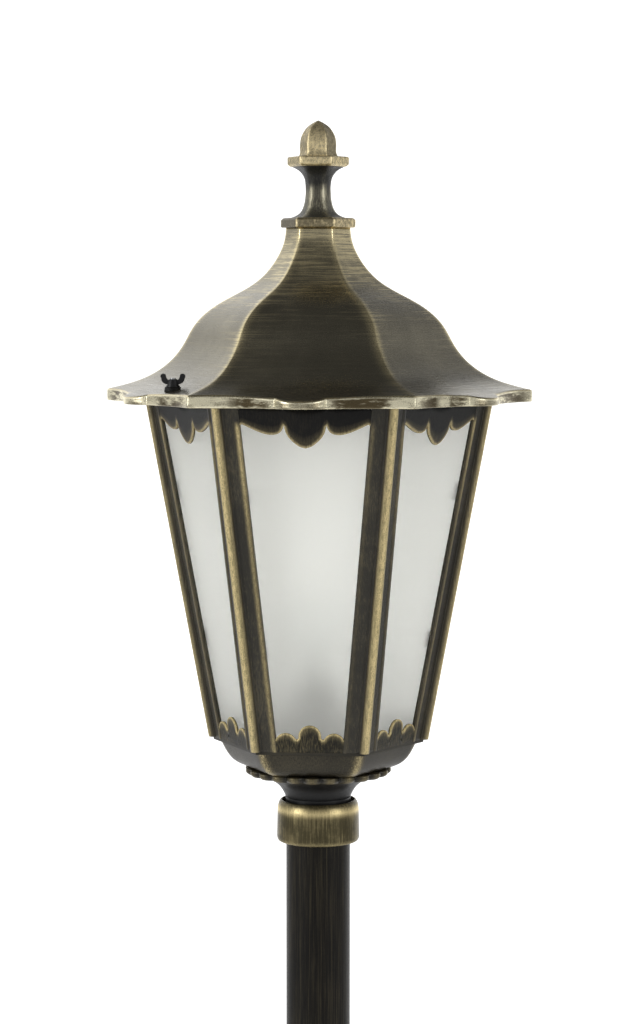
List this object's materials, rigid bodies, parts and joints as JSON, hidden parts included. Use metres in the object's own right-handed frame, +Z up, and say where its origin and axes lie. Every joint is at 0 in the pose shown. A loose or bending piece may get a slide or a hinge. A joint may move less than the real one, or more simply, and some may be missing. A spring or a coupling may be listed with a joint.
{
  "type": "street lamp post",
  "caption": "Round lamp post on a bolt-down foot, carrying a tapered six-sided lantern with frosted panes, scalloped edging, an ogee roof and a finial.",
  "frame": {"origin": "on the ground at the centre of the foot, under the pole's axis", "axes": "+Z up along the pole, the front pane of the lantern faces -Y, two lantern corners lie on X"},
  "size_m": [0.397, 0.3818, 2.0003],
  "materials": {
    "cast_foot": "dark bronze patina, rubbed on its edges",
    "dark_steel": "blackened steel",
    "rubber": "matt",
    "pole_patina": "brown-black patina with faint brass streaks along the pole",
    "collar_patina": "brushed brass with dark patina at its ends",
    "neck_black": "satin black",
    "zinc_steel": "zinc plated",
    "rosette_patina": "dark patina, lobes rubbed bright",
    "bowl_patina": "dark bronze patina",
    "cage_patina": "dark bronze patina",
    "spring_steel": "bare spring steel",
    "ornament_patina": "dark stippled patina with a thin brass edge",
    "roof_patina": "dark patina brushed across, ridges and rim rubbed to brass",
    "inner_steel": "zinc plated sheet",
    "finial_patina": "dark patina with rubbed brass facets",
    "post_patina": "dark hammered patina with a rubbed brass bead",
    "ceramic": "glazed porcelain",
    "phenolic": "moulded black",
    "thread_brass": "bare brass",
    "cap_metal": "bright",
    "clear_glass": "clear",
    "filament": "stem glass and wire",
    "terminal_plastic": "moulded white",
    "satin_glass": "satin etched"
  },
  "bodies": {
    "post": {"base_foot": "cast_foot", "base_grub_screws": "dark_steel", "cable_bush": "rubber", "pole_tube": "pole_patina", "pole_collar": "collar_patina", "collar_grub_screws": "dark_steel", "neck_socket": "neck_black", "neck_nipple": "zinc_steel", "nipple_nuts": "zinc_steel", "rosette_ring": "rosette_patina", "bottom_bowl": "bowl_patina", "bowl_screws": "zinc_steel", "bowl_nuts": "zinc_steel", "bottom_ring": "cage_patina", "top_ring": "cage_patina", "pane_clips": "spring_steel", "post_screws": "zinc_steel", "top_ornaments": "ornament_patina", "bottom_ornaments": "ornament_patina", "roof_gasket": "rubber", "roof_studs": "zinc_steel", "roof_stud_nuts": "zinc_steel", "holder_bracket": "inner_steel", "bracket_screws": "zinc_steel", "holder_nipple": "zinc_steel", "lampholder_base": "ceramic", "lampholder_skirt": "phenolic", "lampholder_thread": "thread_brass", "lampholder_contact": "thread_brass", "terminal_block": "terminal_plastic", "terminal_screws": "zinc_steel", "earth_screw": "thread_brass", "corner_post_1": "post_patina", "glass_pane_1": "satin_glass", "corner_post_2": "post_patina", "glass_pane_2": "satin_glass", "corner_post_3": "post_patina", "glass_pane_3": "satin_glass", "corner_post_4": "post_patina", "glass_pane_4": "satin_glass", "corner_post_5": "post_patina", "glass_pane_5": "satin_glass", "corner_post_6": "post_patina", "glass_pane_6": "satin_glass"},
    "roof": {"roof_shell": "roof_patina", "roof_inner_frame": "inner_steel", "finial_base_plate": "finial_patina", "finial_stem": "finial_patina", "finial_cap_plate": "finial_patina", "finial_bud": "finial_patina", "finial_stud": "zinc_steel", "finial_nut": "zinc_steel"},
    "left_washer": {"wing_washer_left": "dark_steel"},
    "left_wing_nut": {"wing_nut_left": "dark_steel"},
    "right_washer": {"wing_washer_right": "dark_steel"},
    "right_wing_nut": {"wing_nut_right": "dark_steel"},
    "bulb": {"bulb_cap": "cap_metal", "bulb_glass": "clear_glass", "bulb_filament": "filament"}
  },
  "joints": [
    {"name": "roof_lift", "type": "slide", "parent": "post", "child": "roof", "axis": [0, 0, 1], "range_m": [0, 0.12]},
    {"name": "bulb_out", "type": "slide", "parent": "post", "child": "bulb", "axis": [0, 0, 1], "range_m": [0, 0.032]},
    {"name": "left_nut_rise", "type": "slide", "parent": "roof", "child": "left_washer", "axis": [0, 0, 1], "range_m": [0, 0.0042]},
    {"name": "left_nut_turn", "type": "hinge", "parent": "left_washer", "child": "left_wing_nut", "pos_m": [-0.11994, -0.11185, 1.7602], "axis": [0, 0, 1], "range_deg": [0, 1800]},
    {"name": "right_nut_rise", "type": "slide", "parent": "roof", "child": "right_washer", "axis": [0, 0, 1], "range_m": [0, 0.0042]},
    {"name": "right_nut_turn", "type": "hinge", "parent": "right_washer", "child": "right_wing_nut", "pos_m": [0.11994, 0.11185, 1.7602], "axis": [0, 0, 1], "range_deg": [0, 1800]}
  ],
  "couplings": [
    {"joint": "left_nut_rise", "follows": "left_nut_turn", "m_per_rad": 0.00012732},
    {"joint": "right_nut_rise", "follows": "right_nut_turn", "m_per_rad": 0.00012732}
  ]
}
